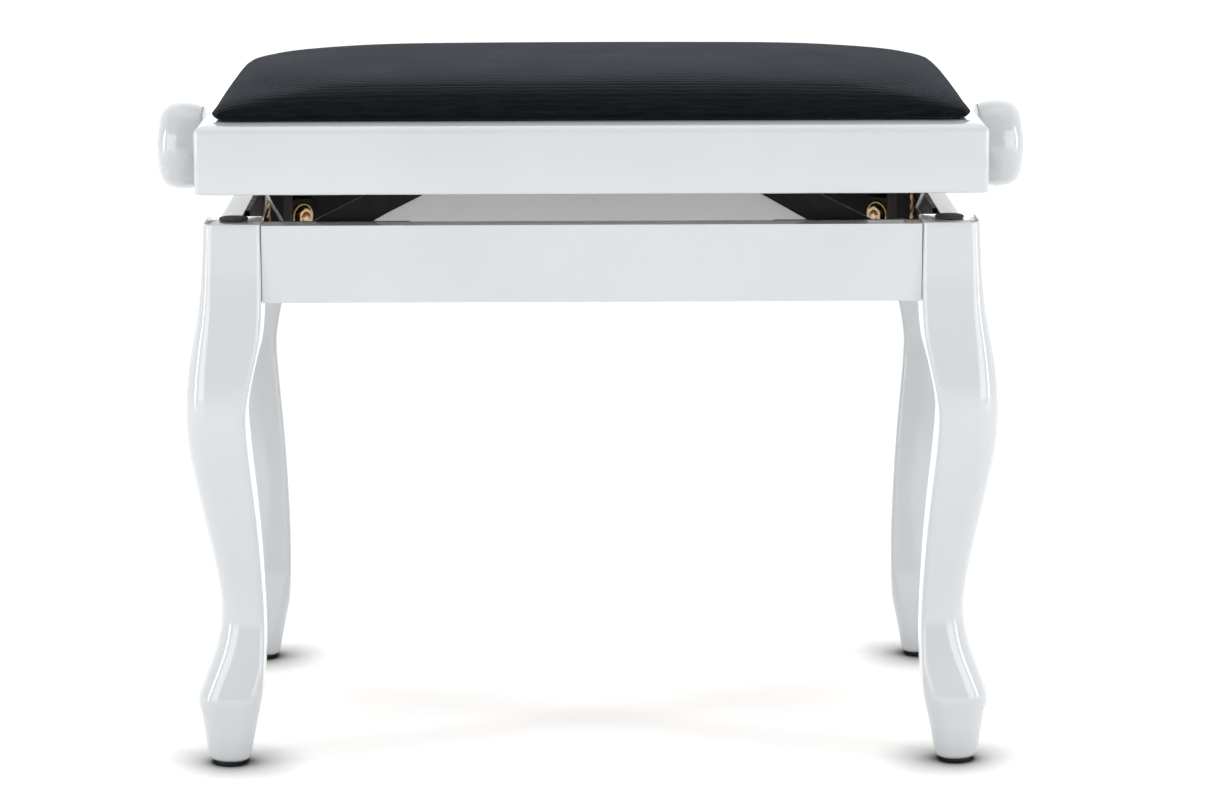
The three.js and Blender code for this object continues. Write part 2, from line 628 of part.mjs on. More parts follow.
const knobCurve = new THREE.SplineCurve([
  new THREE.Vector2(KNOB_RADIUS - 5, 0),
  new THREE.Vector2(KNOB_RADIUS - 2.6, 3),
  new THREE.Vector2(KNOB_RADIUS - 0.4, 10),
  new THREE.Vector2(KNOB_RADIUS, 15),
  new THREE.Vector2(KNOB_RADIUS - 1.2, 22),
  new THREE.Vector2(KNOB_RADIUS - 5, 28),
  new THREE.Vector2(KNOB_RADIUS - 11, 31.5),
  new THREE.Vector2(KNOB_RADIUS - 19, KNOB_LENGTH),
]);
const knobBore = SPINDLE_RADIUS + GAP;
const knobProfile = [
  [0, KNOB_START + KNOB_BORE_DEPTH],
  [knobBore, KNOB_START + KNOB_BORE_DEPTH],
  [knobBore, KNOB_START],
  ...knobCurve.getPoints(10).map(({ x: radius, y: out }) => [radius, KNOB_START + out]),
  [0, KNOB_START + KNOB_LENGTH],
];
for (const [end, sign] of [["left", -1], ["right", 1]]) {
  addPart(`spindle_bush_${end}`, turned(bushProfile, sign, 20), BLACK_PLASTIC);
  addPart(`knob_ferrule_${end}`, turned(ferruleProfile, sign, 20), BLACK_PLASTIC);
  addPart(`knob_${end}`, turned(knobProfile, sign), LACQUER);
}

// The nut's two ears stand either side of the low arms' tube, with room for its swing.
const NUT_HALF_LENGTH = 13;
const NUT_HALF_WIDTH = 15;
const NUT_DROP = 13; // below the spindle's axis
const FORK_PLAY = 2.4;
const nutLow = [PIVOT_X - NUT_HALF_LENGTH, -NUT_HALF_WIDTH, SPINDLE_Z - NUT_DROP];
const nutHigh = [PIVOT_X + NUT_HALF_LENGTH, NUT_HALF_WIDTH, HIGH_PIVOT_Z + TUBE_RADIUS];
const forkHalf = TUBE_RADIUS + FORK_PLAY;
const forkFloor = HIGH_PIVOT_Z - TUBE_RADIUS - SLIDER_CLEARANCE;
const forkSlot = block(
  [PIVOT_X - forkHalf, -NUT_HALF_WIDTH - 1, forkFloor],
  [PIVOT_X + forkHalf, NUT_HALF_WIDTH + 1, nutHigh[2] + 1],
);
const nutBore = barAlongX(SPINDLE_RADIUS + SPINDLE_BORE_GAP, nutLow[0] - 1, nutHigh[0] + 1, 0, SPINDLE_Z, 24);
addPart("fork_nut", cut(block(nutLow, nutHigh), forkSlot, nutBore), BRIGHT_STEEL);

export default bench;
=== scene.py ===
"""Looks of the height adjustable piano bench: lacquered wood, velour cushion and steel lift.

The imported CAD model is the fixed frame. Pieces that need a finer surface are rebuilt here from the
frame's own boxes and outlines, and each rides on the body of the CAD node that it replaces.
"""
import json
import math

import bpy
import numpy as np
from mathutils import Matrix, Vector


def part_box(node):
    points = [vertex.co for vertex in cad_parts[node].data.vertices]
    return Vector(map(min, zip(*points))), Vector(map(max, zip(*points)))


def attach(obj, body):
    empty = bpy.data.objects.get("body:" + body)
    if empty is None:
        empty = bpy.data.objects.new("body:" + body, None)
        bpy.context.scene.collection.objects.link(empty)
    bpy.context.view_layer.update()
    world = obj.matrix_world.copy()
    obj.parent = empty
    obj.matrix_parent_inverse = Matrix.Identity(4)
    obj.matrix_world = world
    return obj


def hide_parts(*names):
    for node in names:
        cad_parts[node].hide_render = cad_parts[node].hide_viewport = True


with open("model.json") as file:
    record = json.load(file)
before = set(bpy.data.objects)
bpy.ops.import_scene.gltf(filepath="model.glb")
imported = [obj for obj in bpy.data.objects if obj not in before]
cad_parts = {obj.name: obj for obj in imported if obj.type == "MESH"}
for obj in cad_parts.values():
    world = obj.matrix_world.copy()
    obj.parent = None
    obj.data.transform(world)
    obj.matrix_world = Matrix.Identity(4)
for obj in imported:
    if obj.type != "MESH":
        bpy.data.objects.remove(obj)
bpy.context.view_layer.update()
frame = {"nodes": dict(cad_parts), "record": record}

MM = 0.001
CORNERS = [f"{end}_{side}" for end in ("front", "rear") for side in ("left", "right")]
BODY_OF = {
    node: body
    for body, nodes in frame["record"]["behaviour"]["bodies"].items()
    for node in nodes
}
SLOT_OF = {entry["node"]: entry["material_slot"] for entry in frame["record"]["subparts"]}


# ---- materials -----------------------------------------------------------------------------------
class Shader:
    """A Principled material with helpers for the few kinds of procedural detail used here."""

    def __init__(self, name, **sockets):
        self.material = bpy.data.materials.new(name)
        self.material.use_nodes = True
        self.nodes = self.material.node_tree.nodes
        self.links = self.material.node_tree.links
        self.bsdf = self.nodes["Principled BSDF"]
        for socket, value in sockets.items():
            self.bsdf.inputs[socket.replace("_", " ")].default_value = value
        self.place = self.nodes.new("ShaderNodeTexCoord").outputs["Object"]

    def scaled(self, x, y, z):
        """Object coordinates, stretched to make a pattern finer along some axes."""
        mapping = self.nodes.new("ShaderNodeMapping")
        mapping.inputs["Scale"].default_value = (x, y, z)
        self.links.new(self.place, mapping.inputs["Vector"])
        return mapping.outputs["Vector"]

    def noise(self, scale, detail=3.0, where=None, distortion=0.0):
        node = self.nodes.new("ShaderNodeTexNoise")
        node.inputs["Scale"].default_value = scale
        node.inputs["Detail"].default_value = detail
        node.inputs["Distortion"].default_value = distortion
        self.links.new(where or self.place, node.inputs["Vector"])
        return node.outputs["Fac"]

    def wave(self, scale, axis, where=None, distortion=0.0, detail=2.0):
        node = self.nodes.new("ShaderNodeTexWave")
        node.bands_direction = axis
        node.inputs["Scale"].default_value = scale
        node.inputs["Distortion"].default_value = distortion
        node.inputs["Detail"].default_value = detail
        self.links.new(where or self.place, node.inputs["Vector"])
        return node.outputs["Fac"]

    def ramp(self, value, *stops):
        """Colour from a value, each stop a position and a colour."""
        node = self.nodes.new("ShaderNodeValToRGB")
        elements = node.color_ramp.elements
        while len(elements) < len(stops):
            elements.new(0.5)
        for element, (position, color) in zip(elements, stops):
            element.position = position
            element.color = (*color, 1.0)
        self.links.new(value, node.inputs["Fac"])
        return node.outputs["Color"]

    def span(self, value, low, high, from_low=0.3, from_high=0.7):
        node = self.nodes.new("ShaderNodeMapRange")
        node.inputs["From Min"].default_value = from_low
        node.inputs["From Max"].default_value = from_high
        node.inputs["To Min"].default_value = low
        node.inputs["To Max"].default_value = high
        self.links.new(value, node.inputs["Value"])
        return node.outputs["Result"]

    def mixed(self, factor, first, second, blend="MIX"):
        node = self.nodes.new("ShaderNodeMix")
        node.data_type = "RGBA"
        node.blend_type = blend
        for socket, value in (("Factor", factor), ("A", first), ("B", second)):
            slot = next(i for i in node.inputs if i.name == socket and i.enabled)
            if isinstance(value, bpy.types.NodeSocket):
                self.links.new(value, slot)
            else:
                slot.default_value = value
        return next(o for o in node.outputs if o.enabled)

    def color(self, output):
        self.links.new(output, self.bsdf.inputs["Base Color"])

    def roughness(self, output):
        self.links.new(output, self.bsdf.inputs["Roughness"])

    def bump(self, height, depth, strength=1.0, under=None):
        """Relief of `depth` metres. `under` is an earlier relief that this one goes on top of."""
        node = self.nodes.new("ShaderNodeBump")
        node.inputs["Strength"].default_value = strength
        node.inputs["Distance"].default_value = depth
        self.links.new(height, node.inputs["Height"])
        if under:
            self.links.new(under, node.inputs["Normal"])
        self.links.new(node.outputs["Normal"], self.bsdf.inputs["Normal"])
        return node.outputs["Normal"]


def white_lacquer():
    look = Shader("white_lacquer", Roughness=0.16, Coat_Weight=1.0, Coat_Roughness=0.03, Coat_IOR=1.5)
    cloud = look.noise(9.0, detail=4.0)
    look.color(look.ramp(cloud, (0.3, (0.434, 0.456, 0.470)), (0.7, (0.458, 0.479, 0.492))))
    look.roughness(look.span(look.noise(60.0), 0.14, 0.22))
    look.bump(look.noise(260.0, detail=1.0), 0.00002, strength=0.25)
    return look.material


def black_velour():
    look = Shader(
        "black_velour",
        Specular_IOR_Level=0.05,
        Sheen_Weight=0.075,
        Sheen_Roughness=0.4,
        Sheen_Tint=(0.62, 0.75, 0.92, 1.0),
    )
    streak = look.noise(1.0, detail=5.0, where=look.scaled(55.0, 900.0, 300.0))
    patch = look.noise(14.0, detail=3.0)
    rows = look.wave(78.0, "Y", distortion=2.5, detail=3.0)
    base = look.ramp(streak, (0.3, (0.0015, 0.0018, 0.0020)), (0.72, (0.0068, 0.0076, 0.0088)))
    nap = look.ramp(patch, (0.3, (0.75, 0.75, 0.75)), (0.7, (1.0, 1.0, 1.0)))
    look.color(look.mixed(1.0, base, nap, blend="MULTIPLY"))
    look.roughness(look.span(patch, 0.78, 0.92))
    ribs = look.bump(rows, 0.0003, 0.55)
    weave = look.noise(1.0, detail=4.0, where=look.scaled(90.0, 1400.0, 900.0))
    thread = look.bump(weave, 0.0005, 0.8, ribs)
    look.bump(look.noise(2600.0, detail=2.0), 0.0002, 0.5, thread)
    return look.material


def black_steel():
    look = Shader("black_steel", Specular_IOR_Level=0.14)
    grain = look.noise(45.0, detail=6.0)
    look.color(look.ramp(grain, (0.35, (0.003, 0.003, 0.0033)), (0.75, (0.008, 0.008, 0.0085))))
    look.roughness(look.span(look.noise(120.0), 0.32, 0.55))
    look.bump(look.noise(700.0), 0.00005, 0.4)
    return look.material


def yellow_zinc():
    look = Shader("yellow_zinc", Metallic=1.0, Roughness=0.3)
    film = look.noise(190.0, detail=3.0, distortion=1.2)
    look.color(
        look.ramp(
            film,
            (0.28, (0.40, 0.27, 0.09)),
            (0.45, (0.58, 0.47, 0.20)),
            (0.58, (0.62, 0.34, 0.28)),
            (0.72, (0.28, 0.46, 0.24)),
        )
    )
    look.roughness(look.span(look.noise(400.0), 0.2, 0.38))
    look.bump(look.noise(1500.0), 0.00003, 0.4)
    return look.material


def dark_zinc():
    """A darker, browner copy of the yellow zinc, for the twisted rods."""
    look = Shader("dark_zinc", Metallic=1.0, Roughness=0.42)
    film = look.noise(160.0, detail=4.0, distortion=0.8)
    look.color(
        look.ramp(
            film,
            (0.3, (0.10, 0.065, 0.04)),
            (0.55, (0.34, 0.22, 0.12)),
            (0.72, (0.46, 0.40, 0.24)),
        )
    )
    look.roughness(look.span(look.noise(350.0), 0.34, 0.5))
    look.bump(look.noise(1300.0), 0.00004, 0.5)
    return look.material


def bright_steel():
    look = Shader("bright_steel", Metallic=1.0, Roughness=0.3)
    drawn = look.noise(1.0, detail=5.0, where=look.scaled(60.0, 1500.0, 1500.0))
    look.color(look.ramp(drawn, (0.3, (0.66, 0.67, 0.68)), (0.7, (0.86, 0.87, 0.88))))
    look.roughness(look.span(drawn, 0.24, 0.42))
    look.bump(drawn, 0.00003, 0.5)
    return look.material


def black_rubber():
    look = Shader("black_rubber", Specular_IOR_Level=0.35)
    dust = look.noise(350.0, detail=5.0)
    look.color(look.ramp(dust, (0.4, (0.012, 0.012, 0.012)), (0.8, (0.035, 0.034, 0.033))))
    look.roughness(look.span(dust, 0.5, 0.75))
    look.bump(look.noise(1800.0), 0.00008, 0.5)
    return look.material


def black_nylon():
    look = Shader("black_nylon")
    look.color(look.ramp(look.noise(200.0), (0.3, (0.014, 0.014, 0.015)), (0.7, (0.024, 0.024, 0.026))))
    look.roughness(look.span(look.noise(500.0), 0.38, 0.52))
    look.bump(look.noise(2200.0), 0.00005, 0.4)
    return look.material


def birch_plywood():
    look = Shader("birch_plywood", Specular_IOR_Level=0.3)
    grain = look.noise(1.0, detail=8.0, where=look.scaled(9.0, 170.0, 170.0), distortion=0.6)
    pores = look.noise(1.0, detail=2.0, where=look.scaled(90.0, 2200.0, 2200.0))
    wood = look.ramp(grain, (0.3, (0.42, 0.27, 0.14)), (0.7, (0.62, 0.45, 0.27)))
    dark = look.ramp(pores, (0.35, (0.70, 0.66, 0.60)), (0.5, (1.0, 1.0, 1.0)))
    look.color(look.mixed(1.0, wood, dark, blend="MULTIPLY"))
    look.roughness(look.span(grain, 0.55, 0.72))
    look.bump(pores, 0.0001, 0.5)
    return look.material


def stain_and_shade_softwood():
    look = Shader("stain_and_shade_softwood", Specular_IOR_Level=0.3)
    rings = look.wave(38.0, "Y", where=look.scaled(0.25, 1.0, 1.0), distortion=3.0, detail=3.0)
    # Near-black: partly dark stain, partly painted shade for the lift's inner corners and the cup hollows.
    look.color(look.ramp(rings, (0.2, (0.004, 0.0036, 0.0034)), (0.8, (0.011, 0.0097, 0.0084))))
    look.roughness(look.span(rings, 0.6, 0.75))
    look.bump(rings, 0.0001, 0.5)
    return look.material


MATERIAL_MAKERS = {
    "white_lacquer": white_lacquer,
    "black_velour": black_velour,
    "black_steel": black_steel,
    "yellow_zinc": yellow_zinc,
    "bright_steel": bright_steel,
    "rubber": black_rubber,
    "black_plastic": black_nylon,
    "plywood": birch_plywood,
    "softwood": stain_and_shade_softwood,
}
MATERIALS = {slot: make() for slot, make in MATERIAL_MAKERS.items()}
# Darker, browner copy of the yellow zinc, used on the twisted rods.
DARK_ZINC = dark_zinc()


# ---- mesh helpers --------------------------------------------------------------------------------
SHARP_ANGLE = math.radians(32)


def mesh_object(name, vertices, faces, material):
    """A smooth shaded mesh with crisp edges, linked into the scene."""
    mesh = bpy.data.meshes.new(name)
    mesh.from_pydata([tuple(v) for v in vertices], [], faces)
    mesh.validate()
    mesh.shade_smooth()
    mesh.set_sharp_from_angle(angle=SHARP_ANGLE)
    mesh.materials.append(material)
    piece = bpy.data.objects.new(name, mesh)
    bpy.context.scene.collection.objects.link(piece)
    return piece


def make_piece(name, vertices, faces, node, replaces=True):
    """A piece that rides on `node`'s body, takes its finish and normally stands for it."""
    piece = mesh_object(name, vertices, faces, MATERIALS[SLOT_OF[node]])
    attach(piece, BODY_OF[node])
    if replaces:
        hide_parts(node)
    return piece


def ring_faces(ring_count, points):
    """Quads between closed rings of `points` vertices, with both ends capped."""
    faces = []
    for ring in range(ring_count - 1):
        low = ring * points
        for i in range(points):
            j = (i + 1) % points
            faces.append((low + i, low + j, low + points + j, low + points + i))
    last = (ring_count - 1) * points
    faces.append(tuple(reversed(range(points))))
    faces.append(tuple(last + i for i in range(points)))
    return faces


def loop_faces(ring_count, points):
    """Quads between closed rings where the last ring joins the first, as round a hoop."""
    faces = []
    for ring in range(ring_count):
        low, high = ring * points, (ring + 1) % ring_count * points
        for i in range(points):
            j = (i + 1) % points
            faces.append((low + i, low + j, high + j, high + i))
    return faces


def smooth_through(known, values, at):
    """Cubic curve through (known, values), read at the places `at`."""
    slope = np.gradient(values, known)
    i = np.clip(np.searchsorted(known, at) - 1, 0, len(known) - 2)
    width = known[i + 1] - known[i]
    t = (at - known[i]) / width
    start = (1 + 2 * t) * (1 - t) ** 2 * values[i] + t * (1 - t) ** 2 * width * slope[i]
    end = t * t * (3 - 2 * t) * values[i + 1] + t * t * (t - 1) * width * slope[i + 1]
    return start + end


def rounded_rectangle(low_x, high_x, low_y, high_y, radii, steps):
    """Points round a rectangle, starting at +X+Y, with an arc of `steps` + 1 points per corner."""
    points = []
    for corner, radius in enumerate(radii):
        x = high_x - radius if corner in (0, 3) else low_x + radius
        y = high_y - radius if corner in (0, 1) else low_y + radius
        for step in range(steps + 1):
            angle = (corner + step / steps) * math.pi / 2
            points.append((x + radius * math.cos(angle), y + radius * math.sin(angle)))
    return points


def soft_corners(corners, steps=6):
    """A closed outline from (x, y, radius) corners, each corner eased by a short curve."""
    outline = []
    count = len(corners)
    for i, (x, y, radius) in enumerate(corners):
        here = Vector((x, y))
        if radius == 0:
            outline.append(here)
            continue
        before = (Vector(corners[i - 1][:2]) - here).normalized() * radius
        after = (Vector(corners[(i + 1) % count][:2]) - here).normalized() * radius
        for step in range(steps + 1):
            t = step / steps
            outline.append(here + before * (1 - t) ** 2 + after * t * t)
    return outline


def lathe(name, profile, axis, centre, node, segments=96, replaces=True):
    """Turns (radius, distance along `axis`) about a line through `centre`. The profile is open."""
    axis = Vector(axis)
    side = axis.orthogonal().normalized()
    other = axis.cross(side)
    vertices = []
    for radius, along in profile:
        for i in range(segments):
            angle = 2 * math.pi * i / segments
            around = side * math.cos(angle) + other * math.sin(angle)
            vertices.append(Vector(centre) + axis * along + around * radius)
    make_piece(name, vertices, ring_faces(len(profile), segments), node, replaces)


def rolled_disc(radius, low, high, roll, steps=6):
    """Profile of a disc with rounded rims, from `low` to `high` along its axis."""
    arc = [math.pi / 2 * i / steps for i in range(steps + 1)]
    bottom = [(radius - roll + roll * math.sin(a), low + roll - roll * math.cos(a)) for a in arc]
    top = [(radius - roll + roll * math.cos(a), high - roll + roll * math.sin(a)) for a in arc]
    return bottom + top


# ---- legs ----------------------------------------------------------------------------------------
LEG_ARC_STEPS = 9
LEG_STATIONS = 150
FOOT_TOP = 75 * MM
TOE = 45 * MM
SOLE_ROLL = 3.0 * MM
POST_ROLL = 0.8 * MM
KNEE_LOW = 240 * MM
KNEE_HIGH = 370 * MM
# Plan radius of the leg's edges in the post, and what is added at the outer edge below the knee and
# at the other edges in the foot, in mm.
OUTER_EDGE = (7, 9)
SIDE_EDGE = (4, 8)
INNER_EDGE = (4, 5)
EASING_START = 52 * MM
EASING_FULL = 80 * MM
EASING_PASSES = 5


def ease(value, low, high):
    t = np.clip((value - low) / (high - low), 0.0, 1.0)
    return t * t * (3 - 2 * t)


def relaxed(values, passes):
    """Values with their sharp bends eased by averaging with both neighbours, the ends kept."""
    for _ in range(passes):
        middle = (values[:-2] + 2 * values[1:-1] + values[2:]) / 4
        values = np.concatenate([values[:1], middle, values[-1:]])
    return values


def leg_levels(node):
    """Heights and outward offsets of the CAD leg's outer and inner sides, from its own rings."""
    mesh = frame["nodes"][node].data
    points = np.array([vertex.co[:] for vertex in mesh.vertices])
    side = np.sign(points[:, 0].mean())
    depth = np.sign(points[:, 1].mean())
    heights = np.round(points[:, 2], 4)
    levels = [z for z in np.unique(heights) if (heights == z).sum() > 8]
    rings = [points[heights == z] for z in levels]
    return {
        "z": np.array(levels),
        "outer_x": np.array([(ring[:, 0] * side).max() for ring in rings]),
        "inner_x": np.array([(ring[:, 0] * side).min() for ring in rings]),
        "outer_y": np.array([(ring[:, 1] * depth).max() for ring in rings]),
        "inner_y": np.array([(ring[:, 1] * depth).min() for ring in rings]),
        "side": side,
        "depth": depth,
    }


def build_leg(corner):
    node = f"leg_{corner}"
    leg = leg_levels(node)
    bottom, top = leg["z"][0], leg["z"][-1]
    turn = np.linspace(0, np.pi / 2, 7)[:-1]
    heights = np.concatenate(
        [
            bottom + SOLE_ROLL * (1 - np.cos(turn)),
            np.linspace(bottom + SOLE_ROLL, top - POST_ROLL, LEG_STATIONS),
            top - POST_ROLL * (1 - np.cos(turn[::-1])),
        ]
    )
    eased = ease(heights, EASING_START, EASING_FULL)
    sides = {}
    for key in ("outer_x", "inner_x", "outer_y", "inner_y"):
        drawn = smooth_through(leg["z"], leg[key], heights)
        sides[key] = drawn + eased * (relaxed(drawn, EASING_PASSES) - drawn)
    vertices = []
    for i, z in enumerate(heights):
        from_end = min(z - bottom, top - z)
        roll = SOLE_ROLL if z - bottom < top - z else POST_ROLL
        inset = 0.0
        if from_end < roll:
            inset = roll - math.sqrt(roll * roll - (roll - from_end) ** 2)
        foot = 1 - ease(z, TOE, FOOT_TOP)
        knee = 1 - ease(z, KNEE_LOW, KNEE_HIGH)
        outer_radius = (OUTER_EDGE[0] + OUTER_EDGE[1] * knee) * MM - inset
        side_radius = (SIDE_EDGE[0] + SIDE_EDGE[1] * foot) * MM - inset
        inner_radius = (INNER_EDGE[0] + INNER_EDGE[1] * foot) * MM - inset
        section = rounded_rectangle(
            sides["inner_x"][i] + inset,
            sides["outer_x"][i] - inset,
            sides["inner_y"][i] + inset,
            sides["outer_y"][i] - inset,
            (outer_radius, side_radius, inner_radius, side_radius),
            LEG_ARC_STEPS,
        )
        if leg["side"] * leg["depth"] < 0:
            section.reverse()
        vertices += [(x * leg["side"], y * leg["depth"], z) for x, y in section]
    points = 4 * (LEG_ARC_STEPS + 1)
    make_piece(f"cabriole_{corner}", vertices, ring_faces(len(heights), points), node)


# ---- glides and bump pads ------------------------------------------------------------------------
GLIDE_ROLL = 1.0 * MM
PAD_ROLL = 0.8 * MM


def build_disc(node, name, roll):
    low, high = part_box(node)
    centre = (low + high) / 2
    radius = (high.x - low.x) / 2
    profile = rolled_disc(radius, low.z - centre.z, high.z - centre.z, roll)
    lathe(name, profile, (0, 0, 1), centre, node, segments=64)


# ---- seat frame rails ----------------------------------------------------------------------------
FRAME_CORNER_RADIUS = 3.0 * MM
RAIL_STATIONS = 6
MITRE_EASE = 1.0 * MM


def rail_outline():
    """Section of a seat rail: (distance in from the outer face, height), anticlockwise."""
    low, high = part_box("seat_rail_front")
    width = high.y - low.y
    bottom, top = low.z, high.z
    corners = [
        (0.0, bottom, 2.0 * MM),
        (0.0, top - 5.4 * MM, 1.6 * MM),
        (3.4 * MM, top - 2.2 * MM, 2.2 * MM),
        (13.0 * MM, top, 4.0 * MM),
        (width, top, 0.6 * MM),
        (width, bottom, 0.8 * MM),
    ]
    return soft_corners(corners)


def build_rail(node, name, outline, half_length, outer, turn):
    """A mitred rail with half of the rounded frame corner at each end. `turn` places it."""
    arc = [math.pi / 4 * i / RAIL_STATIONS for i in range(RAIL_STATIONS + 1)]
    place = Matrix.Rotation(turn, 3, "Z")
    rings = []
    for end in (-1, 1):
        stations = arc[::-1] if end < 0 else arc
        for angle in stations:
            ring = []
            for inset, height in outline:
                round_left = max(FRAME_CORNER_RADIUS - inset, 0.0)
                along = half_length - max(inset, FRAME_CORNER_RADIUS)
                straight = along - (1 - angle / arc[-1]) * MITRE_EASE
                if round_left > 0:
                    along = along + round_left * math.sin(angle)
                    outward = outer - FRAME_CORNER_RADIUS + round_left * math.cos(angle)
                else:
                    along, outward = straight, outer - inset
                ring.append(place @ Vector((end * along, -outward, height)))
            rings.append(ring)
    vertices = [vertex for ring in rings for vertex in reversed(ring)]
    make_piece(name, vertices, ring_faces(len(rings), len(outline)), node)


def build_seat_frame():
    outline = rail_outline()
    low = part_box("seat_rail_front")[0]
    side_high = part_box("seat_rail_right")[1]
    half_x, half_y = side_high.x, -low.y
    build_rail("seat_rail_front", "rail_front", outline, half_x, half_y, 0.0)
    build_rail("seat_rail_right", "rail_right", outline, half_y, half_x, math.pi / 2)
    build_rail("seat_rail_rear", "rail_rear", outline, half_x, half_y, math.pi)
    build_rail("seat_rail_left", "rail_left", outline, half_y, half_x, -math.pi / 2)


# ---- cushion -------------------------------------------------------------------------------------
CUSHION_ARC_STEPS = 14
CUSHION_RINGS = 60
# Inset from the widest outline and height over the rails of the upholstered edge and top, in mm.
CUSHION_PROFILE = [
    (4.6, 0.0),
    (1.9, 1.0),
    (0.4, 3.4),
    (0.0, 6.4),
    (0.8, 9.6),
    (2.4, 12.6),
    (4.8, 15.8),
    (8.5, 19.5),
    (14.0, 22.7),
    (22.0, 24.9),
    (34.0, 26.3),
    (50.0, 27.2),
    (80.0, 28.5),
    (120.0, 29.3),
]
# Plan radius of the corners at the base and at the crest, in mm. The rear ones are pulled in more.
FRONT_CORNER = (13.0, 72.0)
REAR_CORNER = (28.0, 98.0)
CREST_INSET = 22.0
WIDEST_CORNER = 0.9  # of the half depth
BULGE = 2.6 * MM
CORNER_DROOP = 0.15
CLOTH_FRAMES = 20
CLOTH_PRESSURE = 4.0
VOXEL = 4.5 * MM
SWELL_CAP = 6.0 * MM
SWELL_PASSES = 80


def cushion_grid(low, high):
    """Rounded-rectangle rings from the base of the cushion up to its crown."""
    middle = (low + high) / 2
    half_x, half_y = (high.x - low.x) / 2, (high.y - low.y) / 2
    known = np.arange(len(CUSHION_PROFILE), dtype=float)
    fine = np.linspace(0, known[-1], CUSHION_RINGS)
    insets, heights = (smooth_through(known, column, fine) for column in np.array(CUSHION_PROFILE).T)
    vertices = []
    for inset, rise in zip(insets, heights):
        x, y = half_x - inset * MM, half_y - inset * MM
        share = min(inset / CREST_INSET, 1.0)
        rear, front = (
            min((base + (crest - base) * share) * MM, WIDEST_CORNER * y)
            for base, crest in (REAR_CORNER, FRONT_CORNER)
        )
        section = rounded_rectangle(-x, x, -y, y, (rear, rear, front, front), CUSHION_ARC_STEPS)
        vertices += [(middle.x + px, middle.y + py, low.z + rise * MM) for px, py in section]
    return vertices


def build_cushion():
    low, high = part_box("cushion")
    faces = ring_faces(CUSHION_RINGS, 4 * (CUSHION_ARC_STEPS + 1))
    piece = make_piece("cushion_cover", cushion_grid(low, high), faces, "cushion")
    swell(piece, low, high)


def settled_cloth(piece, pinned):
    """Points of the cover after a short run of the cloth simulation."""
    cloth = piece.modifiers.new("cloth", "CLOTH")
    cloth.settings.use_pressure = True
    cloth.settings.uniform_pressure_force = CLOTH_PRESSURE
    cloth.settings.effector_weights.gravity = 0.0
    cloth.settings.bending_stiffness = 4.0
    cloth.settings.vertex_group_mass = pinned
    cloth.point_cache.frame_start = 1
    cloth.point_cache.frame_end = CLOTH_FRAMES
    scene = bpy.context.scene
    for number in range(1, CLOTH_FRAMES + 1):
        scene.frame_set(number)
    evaluated = piece.evaluated_get(bpy.context.evaluated_depsgraph_get())
    points = np.array([vertex.co[:] for vertex in evaluated.to_mesh().vertices])
    evaluated.to_mesh_clear()
    piece.modifiers.remove(cloth)
    scene.frame_set(1)
    return points


def spread_out(mesh, values, passes):
    """Averages a value per vertex with its neighbours' values, again and again."""
    ends = np.array([edge.vertices[:] for edge in mesh.edges])
    count = np.bincount(ends.ravel(), minlength=len(values))[:, None]
    for _ in range(passes):
        total = np.zeros_like(values)
        np.add.at(total, ends[:, 0], values[ends[:, 1]])
        np.add.at(total, ends[:, 1], values[ends[:, 0]])
        values = (values + total / count) / 2
    return values


def swell(piece, low, high):
    """Fills the cover by pressure, capped per point, and fits the result to the cushion's box."""
    bpy.context.view_layer.objects.active = piece
    piece.select_set(True)
    remesh = piece.modifiers.new("remesh", "REMESH")
    remesh.mode = "VOXEL"
    remesh.voxel_size = VOXEL
    bpy.ops.object.modifier_apply(modifier=remesh.name)
    mesh = piece.data
    start = np.array([vertex.co[:] for vertex in mesh.vertices])
    at_base = start[:, 2] < low.z + 2 * MM
    pinned = piece.vertex_groups.new(name="base")
    pinned.add([int(i) for i in np.nonzero(at_base)[0]], 1.0, "REPLACE")
    moved = settled_cloth(piece, pinned.name) - start
    length = np.linalg.norm(moved, axis=1, keepdims=True)
    moved *= np.minimum(1.0, SWELL_CAP / np.maximum(length, 1e-9))
    final = start + spread_out(mesh, moved, SWELL_PASSES)
    for axis in (0, 1):
        centre = (low[axis] + high[axis]) / 2
        reach = (high[axis] - low[axis]) / 2 + BULGE
        final[:, axis] = centre + (final[:, axis] - centre) * reach / abs(final[:, axis] - centre).max()
    reach = np.abs(final[:, :2] - start[:, :2].mean(axis=0)) / [(high.x - low.x) / 2, (high.y - low.y) / 2]
    droop = 1 - CORNER_DROOP * (reach[:, 0] * reach[:, 1]) ** 2
    rise = np.maximum(final[:, 2] - low.z, 0.0) * droop
    final[:, 2] = low.z + rise * (high.z - low.z) / rise.max()
    mesh.vertices.foreach_set("co", final.ravel())
    finer = piece.modifiers.new("finer", "SUBSURF")
    finer.levels = finer.render_levels = 1
    mesh.shade_smooth()


# ---- knobs and spindle ---------------------------------------------------------------------------
KNOB_STATIONS = 90
# Share of the knob's radius and of its length, from the seat frame outwards.
KNOB_SHAPE = [
    (0.24, 0.000),
    (0.78, 0.000),
    (0.87, 0.012),
    (0.925, 0.080),
    (0.975, 0.240),
    (1.000, 0.450),
    (0.990, 0.600),
    (0.955, 0.750),
    (0.880, 0.875),
    (0.790, 0.940),
    (0.690, 0.972),
    (0.500, 0.990),
    (0.250, 0.998),
    (0.040, 1.000),
]


def build_knob(side, sign):
    node = f"knob_{side}"
    low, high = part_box(node)
    length = high.x - low.x
    radius = (high.z - low.z) / 2
    inner = low.x if sign > 0 else high.x
    shape = np.array(KNOB_SHAPE)
    index = np.arange(len(shape), dtype=float)
    fine = np.linspace(0, len(shape) - 1, KNOB_STATIONS)
    radii = smooth_through(index, shape[:, 0], fine) * radius
    along = smooth_through(index, shape[:, 1], fine) * length
    centre = (inner, (low.y + high.y) / 2, (low.z + high.z) / 2)
    lathe(f"turned_knob_{side}", list(zip(radii, along)), (sign, 0, 0), centre, node)


